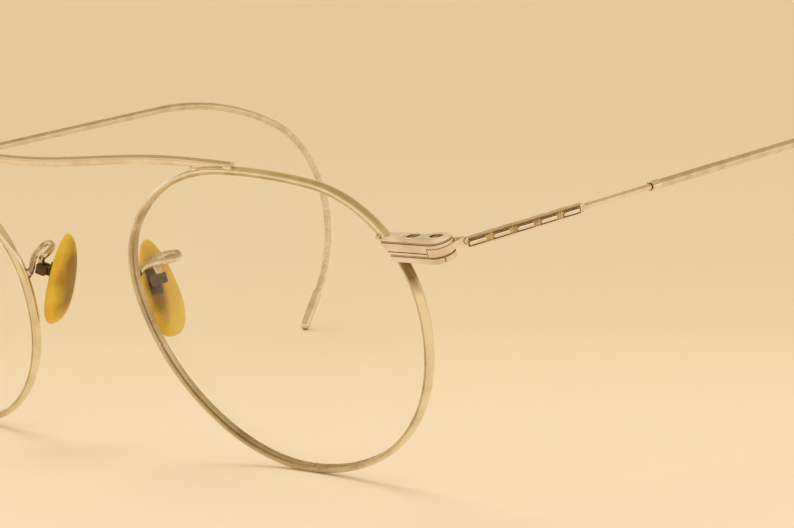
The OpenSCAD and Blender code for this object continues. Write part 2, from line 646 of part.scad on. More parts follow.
module rim_left() { color(metal) front() rim(); }
module rim_right() { color(metal) front() right_hand() rim(); }
module lens_left() { color(glass) front() lens(); }
module lens_right() { color(glass) front() right_hand() lens(); }
module bridge() { color(metal) front() bridge_bar(); }
module end_piece_upper_left() { color(metal) front() end_piece_upper(); }
module end_piece_upper_right() { color(metal) front() right_hand() end_piece_upper(); }
module end_piece_lower_left() { color(metal) front() end_piece_lower(); }
module end_piece_lower_right() { color(metal) front() right_hand() end_piece_lower(); }
module closing_screw_left() { color(dark_metal) front() closing_screw(); }
module closing_screw_right() { color(dark_metal) front() right_hand() closing_screw(); }
module hinge_screw_left() { color(dark_metal) front() hinge_screw(); }
module hinge_screw_right() { color(dark_metal) front() right_hand() hinge_screw(); }
module pad_arm_left() { color(metal) front() pad_arm(); }
module pad_arm_right() { color(metal) front() right_hand() pad_arm(); }
module pad_box_left() { color(dark_metal) front() pad_box(); }
module pad_box_right() { color(dark_metal) front() right_hand() pad_box(); }
module pad_pin_left() { color(dark_metal) front() pad_pin(); }
module pad_pin_right() { color(dark_metal) front() right_hand() pad_pin(); }
module pad_eye_left() { color(dark_metal) front() pad_eye(); }
module pad_eye_right() { color(dark_metal) front() right_hand() pad_eye(); }
module nose_pad_left() { color(amber) front() nose_pad(); }
module nose_pad_right() { color(amber) front() right_hand() nose_pad(); }
module temple_bar_left() { color(metal) front() temple_bar(); }
module temple_bar_right() { color(metal) front() right_hand() temple_bar(); }
module temple_collar_left() { color(metal) front() temple_collar(); }
module temple_collar_right() { color(metal) front() right_hand() temple_collar(); }
module temple_core_left() { color(dark_metal) front() temple_core(); }
module temple_core_right() { color(dark_metal) front() right_hand() temple_core(); }
module temple_cable_left() { color(metal) front() temple_cable(); }
module temple_cable_right() { color(metal) front() right_hand() temple_cable(); }
module temple_tip_left() { color(metal) front() temple_tip(); }
module temple_tip_right() { color(metal) front() right_hand() temple_tip(); }

rim_left();
rim_right();
lens_left();
lens_right();
bridge();
end_piece_upper_left();
end_piece_upper_right();
end_piece_lower_left();
end_piece_lower_right();
closing_screw_left();
closing_screw_right();
hinge_screw_left();
hinge_screw_right();
pad_arm_left();
pad_arm_right();
pad_box_left();
pad_box_right();
pad_pin_left();
pad_pin_right();
pad_eye_left();
pad_eye_right();
nose_pad_left();
nose_pad_right();
temple_bar_left();
temple_bar_right();
temple_collar_left();
temple_collar_right();
temple_core_left();
temple_core_right();
temple_cable_left();
temple_cable_right();
temple_tip_left();
temple_tip_right();
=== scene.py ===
# %% [markdown]
# # Wire-framed eyeglasses on a pale table
# A pair of thin metal spectacles lies open on a cream table top. Its exact solids come from a CAD
# model and are already in place, so this lesson dresses them: it sweeps smooth wires over the
# faceted ones, cuts the engraving, winds the cables, and gives each piece its finish.

# %% Load the solids
import json
import math
import bpy
import bmesh
from mathutils import Matrix, Vector


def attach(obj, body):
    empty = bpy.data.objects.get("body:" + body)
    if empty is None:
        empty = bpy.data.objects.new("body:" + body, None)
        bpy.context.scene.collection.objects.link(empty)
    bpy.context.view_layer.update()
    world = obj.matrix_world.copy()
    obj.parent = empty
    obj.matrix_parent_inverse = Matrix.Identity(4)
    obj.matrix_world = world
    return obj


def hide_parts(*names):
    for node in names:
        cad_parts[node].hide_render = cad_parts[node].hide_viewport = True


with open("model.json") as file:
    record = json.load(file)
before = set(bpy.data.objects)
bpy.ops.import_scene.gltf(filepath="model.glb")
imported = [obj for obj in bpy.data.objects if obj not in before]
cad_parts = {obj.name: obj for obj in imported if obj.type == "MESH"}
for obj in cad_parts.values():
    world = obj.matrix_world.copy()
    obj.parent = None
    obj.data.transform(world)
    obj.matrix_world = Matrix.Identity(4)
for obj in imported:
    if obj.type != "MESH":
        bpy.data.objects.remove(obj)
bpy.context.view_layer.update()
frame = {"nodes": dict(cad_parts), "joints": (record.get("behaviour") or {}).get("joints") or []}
nodes = frame["nodes"]

# %% [markdown]
# ## Where things are
# The front of the spectacles leans back, because the pair rests on the lower edges of its rims
# and on the tips of its temples. All the drawing is easier in the plane of the lenses: x goes to
# the wearer's left, b goes back from the middle of the rims, and s goes up from the foot of the
# lenses, all in millimetres. The left hinge is a joint in the model, so its axis gives the lean,
# and its place gives the two offsets.

# %% From the plane of the lenses to the scene
MM = 0.001
HINGE_B, TONGUE_S = 0.4, 30.4
SIDES = {"left": 1, "right": -1}
joints = {j["name"]: j for j in frame["joints"]}
hinge = joints["temple_left_fold"]
lean = math.atan2(-hinge["axis"][1], hinge["axis"][2])
hinge_x = hinge["pos_m"][0] / MM
table_y = HINGE_B * math.cos(lean) - TONGUE_S * math.sin(lean) - hinge["pos_m"][1] / MM
table_z = HINGE_B * math.sin(lean) + TONGUE_S * math.cos(lean) - hinge["pos_m"][2] / MM


def front(x, b, s, side=1):
    """A point in the plane of the lenses, in millimetres, as a place in the scene."""
    y = b * math.cos(lean) - s * math.sin(lean) - table_y
    z = b * math.sin(lean) + s * math.cos(lean) - table_z
    return Vector((side * x, y, z)) * MM


print("lean of the front:", round(math.degrees(lean), 2), "degrees")

# %% [markdown]
# ## Camera
# The picture is a close view from the wearer's left, low over the table. The camera stands about
# 37 cm away with a long lens, which keeps the two rims nearly parallel.

# %% Place the camera
camera_data = bpy.data.cameras.new("camera")
camera_data.sensor_width = 36
camera_data.lens = 122.42
camera_data.clip_start, camera_data.clip_end = 0.01, 50
camera = bpy.data.objects.new("camera", camera_data)
bpy.context.scene.collection.objects.link(camera)
camera.matrix_world = Matrix((
    (0.748606, -0.057342, 0.660531, 0.249203),
    (0.662913, 0.082160, -0.744174, -0.274376),
    (-0.011597, 0.994968, 0.099518, 0.056234),
    (0, 0, 0, 1)))
bpy.context.scene.camera = camera
bpy.context.scene.view_settings.view_transform = "Standard"
camera_at = [round(c, 3) for c in camera.matrix_world.translation]
print("camera:", round(camera_data.lens, 1), "mm lens at", camera_at)

# %% [markdown]
# ## Meshes from rings
# Nearly every piece here is a wire: a small section carried along a path. One helper joins a run
# of rings into a closed skin, and marks the edges that stay crisp.


# %% Join rings into a skin
def skin(name, rings, closed_run=False, crisp=40):
    """A closed mesh through rings of points that all have the same count."""
    count = len(rings[0])
    verts = [p for ring in rings for p in ring]
    faces = []
    last = len(rings) if closed_run else len(rings) - 1
    for k in range(last):
        here, there = k * count, (k + 1) % len(rings) * count
        for i in range(count):
            j = (i + 1) % count
            faces.append((here + i, there + i, there + j, here + j))
    if not closed_run:
        faces.append(tuple(range(count)))
        faces.append(tuple((len(rings) - 1) * count + i for i in reversed(range(count))))
    return finish_mesh(name, verts, faces, crisp)


def finish_mesh(name, verts, faces, crisp=40):
    """An object with outward normals, smooth but for edges sharper than the given angle."""
    mesh = bpy.data.meshes.new(name)
    mesh.from_pydata([tuple(v) for v in verts], [], faces)
    sort = bmesh.new()
    sort.from_mesh(mesh)
    bmesh.ops.recalc_face_normals(sort, faces=sort.faces)
    sort.to_mesh(mesh)
    sort.free()
    mesh.shade_smooth()
    mesh.set_sharp_from_angle(angle=math.radians(crisp))
    made = bpy.data.objects.new(name, mesh)
    bpy.context.scene.collection.objects.link(made)
    return made


def dress(piece, body, slot, finish, *replaced):
    """Says what a piece rides on, which finish it has, and which solids it stands for."""
    piece.data.materials.clear()
    piece.data.materials.append(finish)
    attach(piece, body)
    if replaced:
        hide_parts(*replaced)


# %% [markdown]
# ## Metal finishes
# The frame is a pale warm alloy, worn smooth: bright where it catches a lamp, brown where it
# mirrors the table. A metallic shader does that by itself. Soft noise then varies the colour and
# the polish, and a very fine bump keeps the highlights from looking like glass. In grooves and
# corners ambient occlusion, which tells how closed in a point is, mixes a brown over the metal:
# painted shade, with some grime. Three finishes have more: the end pieces are a little wavy from
# filing, the rims get a painted brown shade below the end piece, and the brow bar's upper faces
# get a darker colour, which is painted shade.


# %% Mix a metal
def noise(tree, scale, detail=2.0):
    """Noise in the piece's own coordinates. A scale of 1000 gives spots of a millimetre."""
    place = tree.nodes.new("ShaderNodeTexCoord")
    spots = tree.nodes.new("ShaderNodeTexNoise")
    spots.inputs["Scale"].default_value = scale
    spots.inputs["Detail"].default_value = detail
    tree.links.new(place.outputs["Object"], spots.inputs["Vector"])
    return spots.outputs["Fac"]


def ramp(tree, value, stops):
    """A colour ramp over a value."""
    made = tree.nodes.new("ShaderNodeValToRGB")
    made.color_ramp.elements[0].position, made.color_ramp.elements[0].color = stops[0]
    made.color_ramp.elements[1].position, made.color_ramp.elements[1].color = stops[-1]
    for position, colour in stops[1:-1]:
        made.color_ramp.elements.new(position).color = colour
    tree.links.new(value, made.inputs["Fac"])
    return made.outputs["Color"]


def span(tree, value, low, high, start=0.3, end=0.7):
    """Maps a value from the start..end range to the low..high range."""
    made = tree.nodes.new("ShaderNodeMapRange")
    made.inputs["From Min"].default_value = start
    made.inputs["From Max"].default_value = end
    made.inputs["To Min"].default_value = low
    made.inputs["To Max"].default_value = high
    tree.links.new(value, made.inputs["Value"])
    return made.outputs["Result"]


def bump(tree, height, depth):
    """Relief of the given depth in metres."""
    made = tree.nodes.new("ShaderNodeBump")
    made.inputs["Strength"].default_value = 1
    made.inputs["Distance"].default_value = depth
    tree.links.new(height, made.inputs["Height"])
    return made.outputs["Normal"]


def shader(name):
    """A new material, its node tree and its main shader."""
    made = bpy.data.materials.new(name)
    made.use_nodes = True
    return made, made.node_tree, made.node_tree.nodes["Principled BSDF"]


def layered(tree, share, under, over):
    """One colour over another, by a share from 0 to 1."""
    made = tree.nodes.new("ShaderNodeMix")
    made.data_type = "RGBA"
    tree.links.new(share, made.inputs["Factor"])
    for socket, colour in ((made.inputs[6], under), (made.inputs[7], over)):
        if isinstance(colour, tuple):
            socket.default_value = (*colour, 1)
        else:
            tree.links.new(colour, socket)
    return made.outputs[2]


def crevice_shade(tree, reach, own):
    """How much painted shade a point gets for lying deep in a groove or corner, from 0 in the open
    to 1.
    """
    made = tree.nodes.new("ShaderNodeAmbientOcclusion")
    made.samples = 8
    made.only_local = own
    made.inputs["Distance"].default_value = reach
    return span(tree, made.outputs["AO"], 1, 0, CLOSED_IN, OPEN)


def vector_math(tree, operation, value, other=None):
    """A calculation on a vector, with a fixed second vector where it needs one."""
    made = tree.nodes.new("ShaderNodeVectorMath")
    made.operation = operation
    tree.links.new(value, made.inputs[0])
    if other is not None:
        made.inputs[1].default_value = other
    one_number = operation in ("DISTANCE", "DOT_PRODUCT", "LENGTH")
    return made.outputs["Value" if one_number else "Vector"]


def folded_place(tree):
    """A point's place without its signs: the right side falls onto the left and looks like it."""
    place = tree.nodes.new("ShaderNodeTexCoord")
    return vector_math(tree, "ABSOLUTE", place.outputs["Object"])


def distance_from(tree, spot):
    """Distance from a spot given for the left side, or from its mirror image on the right."""
    return vector_math(tree, "DISTANCE", folded_place(tree), [abs(c) for c in spot])


def facing_up(tree, low, high):
    """How much painted top shade a face gets, from 0 below the low height of its normal."""
    face = tree.nodes.new("ShaderNodeNewGeometry")
    parts = tree.nodes.new("ShaderNodeSeparateXYZ")
    tree.links.new(face.outputs["Normal"], parts.inputs["Vector"])
    return span(tree, parts.outputs["Z"], 0, TOP_SHADE_SHARE, low, high)


# Painted shade, with some grime: ambient occlusion mixes this brown into grooves and corners.
SHADE_AND_GRIME, SHADE_AND_GRIME_REACH, CLOSED_IN, OPEN = (0.16, 0.092, 0.026), 0.0003, 0.58, 0.9
# Painted shade: a brown spot on the rim below the end piece, fading with distance.
SPOT_SHADE, SPOT_SHADE_SHARE, SPOT_SHADE_R, SPOT_SHADE_FADE = (0.21, 0.125, 0.03), 0.95, 0.0012, 0.0034
# Painted shade: faces of the brow bar that point up take a darker colour.
TOP_SHADE_SHARE, TOP_FROM, TOP_TO = 0.85, -0.25, 0.05
GRAIN, GRAIN_DEPTH, WAVES = 5200, 1.5e-6, 1100


def metal(name, pale, dull, polish, patch=260, own=False, shaded_spot=None, wave=0, top=None,
          metallic=1):
    """A worn metal between two colours, with its roughness around the given polish.

    A patch is a noise scale, own keeps the painted shade and grime to the piece's own corners, heat
    is a spot with painted brown shade round it, wave is the depth of file marks in metres, and top
    is the painted shade colour of the upper faces.
    """
    made, tree, main = shader(name)
    main.inputs["Metallic"].default_value = metallic
    colour = ramp(tree, noise(tree, patch, 4), [(0.34, (*dull, 1)), (0.56, (*pale, 1))])
    # Painted shade: a brown spot that fades out with distance from the given place.
    if shaded_spot:
        away = distance_from(tree, shaded_spot)
        spot_shading = span(tree, away, SPOT_SHADE_SHARE, 0, SPOT_SHADE_R, SPOT_SHADE_FADE)
        colour = layered(tree, spot_shading, colour, SPOT_SHADE)
    # Painted shade: faces whose normals point up take the darker top colour.
    if top:
        colour = layered(tree, facing_up(tree, TOP_FROM, TOP_TO), colour, top)
    # Painted shade, with some grime: brown in grooves and corners.
    colour = layered(tree, crevice_shade(tree, SHADE_AND_GRIME_REACH, own), colour, SHADE_AND_GRIME)
    tree.links.new(colour, main.inputs["Base Color"])
    rough = span(tree, noise(tree, patch * 3.1, 3), polish * 0.75, polish * 1.35)
    tree.links.new(rough, main.inputs["Roughness"])
    fine = bump(tree, noise(tree, GRAIN, 3), GRAIN_DEPTH)
    if wave:
        tree.links.new(bump(tree, noise(tree, WAVES, 2), wave), fine.node.inputs["Normal"])
    tree.links.new(fine, main.inputs["Normal"])
    return made


FRAME_METAL = metal("worn_white_gold", (0.86, 0.78, 0.68), (0.68, 0.58, 0.46), 0.2, wave=2.2e-5)
TEMPLE_METAL = metal("worn_white_gold_temple", (0.87, 0.775, 0.67), (0.70, 0.59, 0.475), 0.22)
ARM_METAL = metal("soldered_wire", (0.88, 0.78, 0.66), (0.64, 0.54, 0.42), 0.24, patch=420)
CABLE_METAL = metal("wound_wire", (0.80, 0.73, 0.61), (0.68, 0.60, 0.47), 0.26, patch=400)
TIP_METAL = metal("drawn_tip", (0.84, 0.77, 0.66), (0.70, 0.62, 0.49), 0.2)
# The rim gets a painted brown shade below its end piece.
RIM_METAL = metal("worn_white_gold_wire", (0.86, 0.80, 0.64), (0.75, 0.68, 0.50), 0.2, own=True,
                  shaded_spot=front(55.9, 0, 27.9))
# The brow bar's upper faces get a darker colour, which is painted shade.
BAR_METAL = metal("brow_bar_shaded_top", (0.86, 0.79, 0.68), (0.74, 0.66, 0.53), 0.22, own=True,
                  top=(0.70, 0.61, 0.47))
SOLDER = metal("solder", (0.94, 0.89, 0.82), (0.70, 0.60, 0.48), 0.22, patch=900, own=True)
# A darker metal for the faces inside the rim, round the lens.
INNER_METAL = metal("darker_inside_faces", (0.66, 0.55, 0.38), (0.46, 0.36, 0.21), 0.3, own=True)
SCREW_METAL = metal("screw_steel", (0.54, 0.43, 0.29), (0.28, 0.20, 0.12), 0.34, patch=700,
                    own=True)
# The pad's box, pin and eye are real fittings, coloured nearly black as painted shade round the
# box.
SHADED_FITTING_METAL = metal("fitting_darkened_as_shade", (0.12, 0.068, 0.014), (0.05, 0.028, 0.006), 0.42,
                      patch=700, metallic=0.35)
# Darker finish for the sunk engraving: painted shade, with some tarnish.
TARNISH_AND_SHADE = metal("tarnish_and_shade_in_engraving", (0.72, 0.56, 0.33), (0.44, 0.31, 0.15), 0.36, patch=900)
CORE_METAL = metal("core_wire", (0.58, 0.53, 0.44), (0.46, 0.41, 0.32), 0.3)
print("rim finish:", RIM_METAL.name, "with", len(RIM_METAL.node_tree.nodes), "nodes")

# %% [markdown]
# ## Lens glass
# The lenses are clear: nearly all of what is behind them shows, with a faint gleam on top. Glass
# alone would double every wire seen through it, so most of the surface is simply transparent.

# %% Mix the lens glass
LENS_ALPHA = 0.045
LENS_GLASS, lens_tree, lens_main = shader("clear_lens")
lens_main.inputs["Base Color"].default_value = (0.97, 0.98, 0.95, 1)
lens_main.inputs["Transmission Weight"].default_value = 1
lens_main.inputs["IOR"].default_value = 1.5
lens_main.inputs["Alpha"].default_value = LENS_ALPHA
smears = span(lens_tree, noise(lens_tree, 120, 4), 0, 0.06)
lens_tree.links.new(smears, lens_main.inputs["Roughness"])
print("lens glass: alpha", LENS_ALPHA)

# %% [markdown]
# ## Rims
# Each rim is a half-round wire with a groove inside for the lens. It runs round eight tangent
# arcs and is cut beside the temple, where the end piece opens it. The solid under it has flat
# facets, so a smooth wire is swept over the same arcs with many more steps.

# %% Draw the outline of a lens
LENS_H, REACH_TEMPLE, REACH_NOSE, LENS_GAP = 38.56, 25, 20.8, 20.9
SHOULDER_R, TEMPLE_TURNS, NOSE_TURNS = 14.2, (10, 28), (45, 34)
axis_x = LENS_GAP / 2 + REACH_NOSE


def half_outline(reach, brow_turn, low_turn):
    """Four arcs from the foot of a lens to its top: centre, radius, first angle, sweep."""
    t, w = math.radians(brow_turn), math.radians(low_turn)
    brow = (reach - SHOULDER_R * (1 - math.sin(t))) / math.sin(t)
    wide = LENS_H - brow * (1 - math.cos(t)) - SHOULDER_R * math.cos(t)
    share = 1 - math.sin(w) - math.cos(w)
    cheek = (reach * (1 - math.cos(w)) - wide * math.sin(w)) / share
    bottom = (wide * (1 - math.sin(w)) - reach * math.cos(w)) / share
    return [(0, bottom, bottom, -90, low_turn),
            (reach - cheek, wide, cheek, low_turn - 90, 90 - low_turn),
            (reach - SHOULDER_R, wide, SHOULDER_R, 0, 90 - brow_turn),
            (0, LENS_H - brow, brow, 90 - brow_turn, brow_turn)]


temple_half = half_outline(REACH_TEMPLE, *TEMPLE_TURNS)
nose_half = [(-x, y, r, 180 - start - sweep, sweep)
             for x, y, r, start, sweep in half_outline(REACH_NOSE, *NOSE_TURNS)]
shoulder = temple_half[2]
wide_s = shoulder[1]
print("lens:", round(REACH_TEMPLE + REACH_NOSE, 1), "by", LENS_H, "mm, widest at", round(wide_s, 1))


def stations(arcs, step):
    """Centre, radius and angle at even steps along some arcs."""
    out = []
    for x, y, r, start, sweep in arcs:
        steps = max(2, math.ceil(r * math.radians(sweep) / step))
        out += [(x, y, r, math.radians(start + sweep * k / steps)) for k in range(steps)]
    return out


def on_outline(station, out, depth, side):
    """A point beside the outline: out from the edge of the lens, and depth towards the front."""
    x, y, r, t = station
    return front(axis_x + x + (r + out) * math.cos(t), -depth, y + (r + out) * math.sin(t), side)


# %% Sweep the rims
SPLIT_DOWN, SPLIT_W = 8.24, 0.1
RIM_DEPTH, RIM_OUT, RIM_LIP, RIM_ROUND, RIM_STEP = 1.3, 0.48, 0.3, 0.9, 0.4
HALF, GROOVE, INSIDE = RIM_DEPTH / 2, 0.42, 0.05
SPLIT_S = LENS_H - SPLIT_DOWN
bulge = [(RIM_OUT - RIM_ROUND + math.sqrt(RIM_ROUND ** 2 - depth * depth), depth)
         for depth in (0.54 - 0.09 * k for k in range(13))]
front_lip = [(-RIM_LIP, GROOVE), (-RIM_LIP, HALF - 0.09), (-RIM_LIP + 0.03, HALF - 0.03),
             (-RIM_LIP + 0.09, HALF), (0.04, HALF), (0.13, HALF - 0.015), (0.2, HALF - 0.05)]
back_lip = [(out, -depth) for out, depth in reversed(front_lip)]
rim_section = [(INSIDE, 0), *front_lip, *bulge, *back_lip]
cut = math.degrees(math.asin((SPLIT_S - wide_s) / SHOULDER_R))
half_cut = math.degrees(SPLIT_W / 2 / SHOULDER_R)
rim_arcs = [(*shoulder[:3], cut + half_cut, shoulder[4] - cut - half_cut), temple_half[3],
            *reversed(nose_half), *temple_half[:2], (*shoulder[:3], 0, cut - half_cut)]
run = stations(rim_arcs, RIM_STEP) + [(*shoulder[:3], math.radians(cut - half_cut))]
for name, side in SIDES.items():
    rings = [[on_outline(st, out, depth, side) for out, depth in rim_section] for st in run]
    rim = skin("rim_wire_" + name, rings, crisp=50)
    dress(rim, "front", "frame_metal", RIM_METAL, "rim_" + name)
    # Faces inside the rim, round the lens groove, take the darker metal.
    rim.data.materials.append(INNER_METAL)
    for k in range(len(run) - 1):
        for i in range(len(rim_section)):
            if max(rim_section[i][0], rim_section[(i + 1) % len(rim_section)][0]) <= INSIDE:
                rim.data.polygons[k * len(rim_section) + i].material_index = 1
print("rim:", len(rim.data.polygons), "faces")

# %% [markdown]
# ## Lenses
# A lens is a thin shell between two spheres of the same radius, with a bevel round its edge that
# sits in the groove of the rim. Rings from the middle to the edge make both faces.

# %% Grind the lenses
LENS_T, CURVE_R, DOME, BEVEL_H, BEVEL_W = 1.5, 350, 1.3, 0.35, 0.42
LENS_STEP, LENS_RINGS, LENS_HUB = 0.7, 12, 0.06
mid_x, mid_s = (REACH_TEMPLE - REACH_NOSE) / 2, LENS_H / 2
lens_edge = stations([*temple_half, *reversed(nose_half)], LENS_STEP)


def lens_ring(share, height, side):
    """A ring of the lens surface at a share of its width, under the sphere's height."""
    ring = []
    for x, y, r, t in lens_edge:
        px = (x + (r - BEVEL_H) * math.cos(t) - mid_x) * share
        ps = (y + (r - BEVEL_H) * math.sin(t) - mid_s) * share
        sag = CURVE_R - math.sqrt(CURVE_R ** 2 - px * px - ps * ps)
        ring.append(front(axis_x + mid_x + px, sag - height, mid_s + ps, side))
    return ring


shares = [LENS_HUB + (1 - LENS_HUB) * k / LENS_RINGS for k in range(LENS_RINGS + 1)]
for name, side in SIDES.items():
    rings = [lens_ring(share, DOME - LENS_T, side) for share in shares]
    rings += [[on_outline(st, out, depth, side) for st in lens_edge]
              for out, depth in ((-BEVEL_H, -BEVEL_W), (0, 0), (-BEVEL_H, BEVEL_W))]
    rings += [lens_ring(share, DOME, side) for share in reversed(shares)]
    lens = skin("lens_glass_" + name, rings, crisp=25)
    dress(lens, "front", "lens_glass", LENS_GLASS, "lens_" + name)
print("lens:", len(lens.data.polygons), "faces")

# %% [markdown]
# ## Brow bar
# The bridge is a single bar that bows forward over the nose, with a low crest on each side, and
# thins out where it is soldered along the top of each rim.

# %% Sweep the brow bar
BAR_H, BAR_T, BAR_RISE, CREST_RISE, CREST_X = 1.15, 0.9, 1.25, 0.35, 18
LAND_X, BAR_END_X, BAR_END_H, BAR_BOW = 26.7, 32.9, 0.55, 1.5
BAR_SEAT, BAR_POINTS, HALF_BAR_STEPS = 0.05, 28, 130


def ease(t):
    """A smooth step from 0 to 1."""
    return (1 - math.cos(math.pi * t)) / 2


def brow_s(x):
    """Height of the top of the lens over a distance from its axis."""
    arc = nose_half[3] if x < 0 else temple_half[3]
    return arc[1] + math.sqrt(arc[2] ** 2 - x * x)


def bar_ring(x):
    """The section of the bar at a distance from the middle."""
    if abs(x) < CREST_X:
        top = LENS_H + BAR_RISE + CREST_RISE * ease(abs(x) / CREST_X)
    else:
        fall = CREST_RISE + BAR_RISE - RIM_OUT - BAR_END_H
        turn = math.pi / 2 * (abs(x) - CREST_X) / (BAR_END_X - CREST_X)
        top = LENS_H + BAR_RISE + CREST_RISE - fall * (1 - math.cos(turn))
    landed = abs(x) >= LAND_X
    foot = brow_s(abs(x) - axis_x) + RIM_OUT - BAR_SEAT if landed else top - BAR_H
    b = 0 if landed else -BAR_BOW * (1 - ease(abs(x) / LAND_X))
    ring = []
    for i in range(BAR_POINTS):
        t = 2 * math.pi * (i + 0.5) / BAR_POINTS
        s = (top + foot) / 2 + (top - foot) / 2 * math.sin(t)
        ring.append(front(x, b + BAR_T / 2 * math.cos(t), s))
    return ring


bridge = skin("brow_bar", [bar_ring(BAR_END_X * k / HALF_BAR_STEPS)
                           for k in range(-HALF_BAR_STEPS, HALF_BAR_STEPS + 1)])
dress(bridge, "front", "frame_metal", BAR_METAL, "bridge")
print("brow bar:", 2 * BAR_END_X, "mm from end to end,", len(bridge.data.polygons), "faces")

# %% [markdown]
# ## Nose pads
# A pad is a flattened oval, fuller on the side that meets the nose. Its frame leans in and back,
# and turns its rear edge outwards. A metal plate is let into its outer face.

# %% Shape the nose pads
PAD_AT = (9.16, 4.3, 20.06)
PAD_FRONTAL, PAD_VERTICAL, PAD_SPLAY = (math.radians(a) for a in (19.7, 17.1, 11.6))
PAD_LEN, PAD_W, PAD_TAPER, PAD_CROWN, PAD_REAR = 12.4, 4.8, 0.32, 1.6, 0.8
PLATE_LEN, PLATE_W, PLATE_T, PIN_UP, EYE_AHEAD = 3.2, 1.6, 0.35, 0.8, 0.8
pad_turn = (Matrix.Rotation(-PAD_FRONTAL, 3, "Y") @ Matrix.Rotation(-PAD_VERTICAL, 3, "X")
            @ Matrix.Rotation(-PAD_SPLAY, 3, "Z"))


def on_pad(x, y, z, side):
    """A point in the frame of a pad: x out from the nose, y back, z up."""
    p = pad_turn @ Vector((x, y, z))
    return front(PAD_AT[0] + p.x, PAD_AT[1] + p.y, PAD_AT[2] + p.z, side)


print("middle of the left pad:", [round(c / MM, 1) for c in on_pad(0, 0, 0, 1)], "mm")

# %% [markdown]
# The pads are old cellulose plastic the colour of honey. Light goes some way into it, so the shader
# scatters a little below the surface. Browns are painted on as shade: on the face that meets the
# nose, towards its rear edge, and on the outer face round the metal plate. Each is an oval in the
# pad's own directions, with a wandering border.


# %% Mix the pad plastic
SHADE_WANDER, SHADE_FULL, SHADE_GONE = 0.25, 0.55, 1.5


def oval_shade(tree, centre, halves):
    """How strongly an oval of painted shade shows, from its centre and half-widths in the pad's
    directions.
    """
    middle = on_pad(*centre, 1)
    away = vector_math(tree, "SUBTRACT", folded_place(tree), [abs(c) for c in middle])
    measured = tree.nodes.new("ShaderNodeCombineXYZ")
    for k in range(3):
        tip = list(centre)
        tip[k] += halves[k]
        axis = on_pad(*tip, 1) - middle
        axis.y = -axis.y  # the pads lie where y is negative, and the folded place has no sign
        along = vector_math(tree, "DOT_PRODUCT", away, axis / axis.length_squared)
        tree.links.new(along, measured.inputs[k])
    wander = tree.nodes.new("ShaderNodeMath")
    wander.operation = "ADD"
    tree.links.new(vector_math(tree, "LENGTH", measured.outputs["Vector"]), wander.inputs[0])
    tree.links.new(span(tree, noise(tree, 420, 3), -SHADE_WANDER, SHADE_WANDER), wander.inputs[1])
    return span(tree, wander.outputs["Value"], 1, 0, SHADE_FULL, SHADE_GONE)


PAD_AMBER, pad_tree, pad_main = shader("honey_plastic")
pad_main.inputs["Roughness"].default_value = 0.38
pad_main.inputs["IOR"].default_value = 1.5
pad_main.inputs["Specular IOR Level"].default_value = 0.22
pad_main.inputs["Subsurface Weight"].default_value = 0.3
pad_main.inputs["Subsurface Radius"].default_value = (1.0, 0.5, 0.12)
pad_main.inputs["Subsurface Scale"].default_value = 0.0012
honey = ramp(pad_tree, noise(pad_tree, 260, 3),
             [(0.3, (0.74, 0.44, 0.03, 1)), (0.68, (0.88, 0.61, 0.07, 1))])
# Painted shade: brown ovals on the face that meets the nose and round the metal plate.
PAD_SHADES = {"nose face": ((-1.5, 0, 0.5), (1.25, 1.75, 4.8), (0.35, 0.19, 0.018)),
          "round the plate": ((0.8, -0.9, 0.1), (0.6, 1.0, 3.2), (0.31, 0.15, 0.009))}
for centre, halves, brown in PAD_SHADES.values():
    honey = layered(pad_tree, oval_shade(pad_tree, centre, halves), honey, brown)
pad_tree.links.new(honey, pad_main.inputs["Base Color"])
pad_tree.links.new(bump(pad_tree, noise(pad_tree, 1500, 3), 6e-6), pad_main.inputs["Normal"])
print("painted shades on a pad:", list(PAD_SHADES))


# %% Press the pads
PAD_POINTS, PAD_LEVELS, PAD_TURN, PAD_ROUND, PAD_OVAL = 64, 24, 86, 0.62, 0.9


def pad_ring(k, side):
    """One level of the pad, from the nose side to the outer side."""
    t = math.radians(-PAD_TURN + 2 * PAD_TURN * k / PAD_LEVELS)
    wide = math.cos(t) ** PAD_ROUND
    x = (PAD_CROWN if t < 0 else PAD_REAR) * math.sin(t)
    ring = []
    for i in range(PAD_POINTS):
        a = 2 * math.pi * i / PAD_POINTS
        across = wide * math.copysign(abs(math.cos(a)) ** PAD_OVAL, math.cos(a))
        along = wide * math.copysign(abs(math.sin(a)) ** PAD_OVAL, math.sin(a))
        y = PAD_W / 2 * across * (1 - PAD_TAPER * along)
        ring.append(on_pad(x, y, PAD_LEN / 2 * along, side))
    return ring


def combine(piece, other, way):
    """Takes another closed shape out of a piece, or joins it on, and throws the other away."""
    change = piece.modifiers.new("combine", "BOOLEAN")
    change.operation, change.object, change.solver = way, other, "EXACT"
    with bpy.context.temp_override(object=piece, active_object=piece):
        bpy.ops.object.modifier_apply(modifier=change.name)
    bpy.data.objects.remove(other, do_unlink=True)


for name, side in SIDES.items():
    pad = skin("pad_" + name, [pad_ring(k, side) for k in range(PAD_LEVELS + 1)], crisp=60)
    recess = skin("recess_" + name, [
        [on_pad(x, y * PLATE_W / 2 - EYE_AHEAD, PIN_UP + z * PLATE_LEN / 2, side)
         for y, z in ((-1, -1), (1, -1), (1, 1), (-1, 1))]
        for x in (PAD_REAR - PLATE_T, PAD_REAR + 0.6)])
    combine(pad, recess, "DIFFERENCE")
    dress(pad, "pad_" + name, "pad_amber", PAD_AMBER, "nose_pad_" + name)
print("pad:", len(pad.data.polygons), "faces")

# %% [markdown]
# ## Pad arms
# A thin wire is soldered to the back of each rim, goes back beside the lens, loops over and comes
# down on the small box behind the pad. Its side vector is carried from ring to ring, so the tube
# doesn't twist.

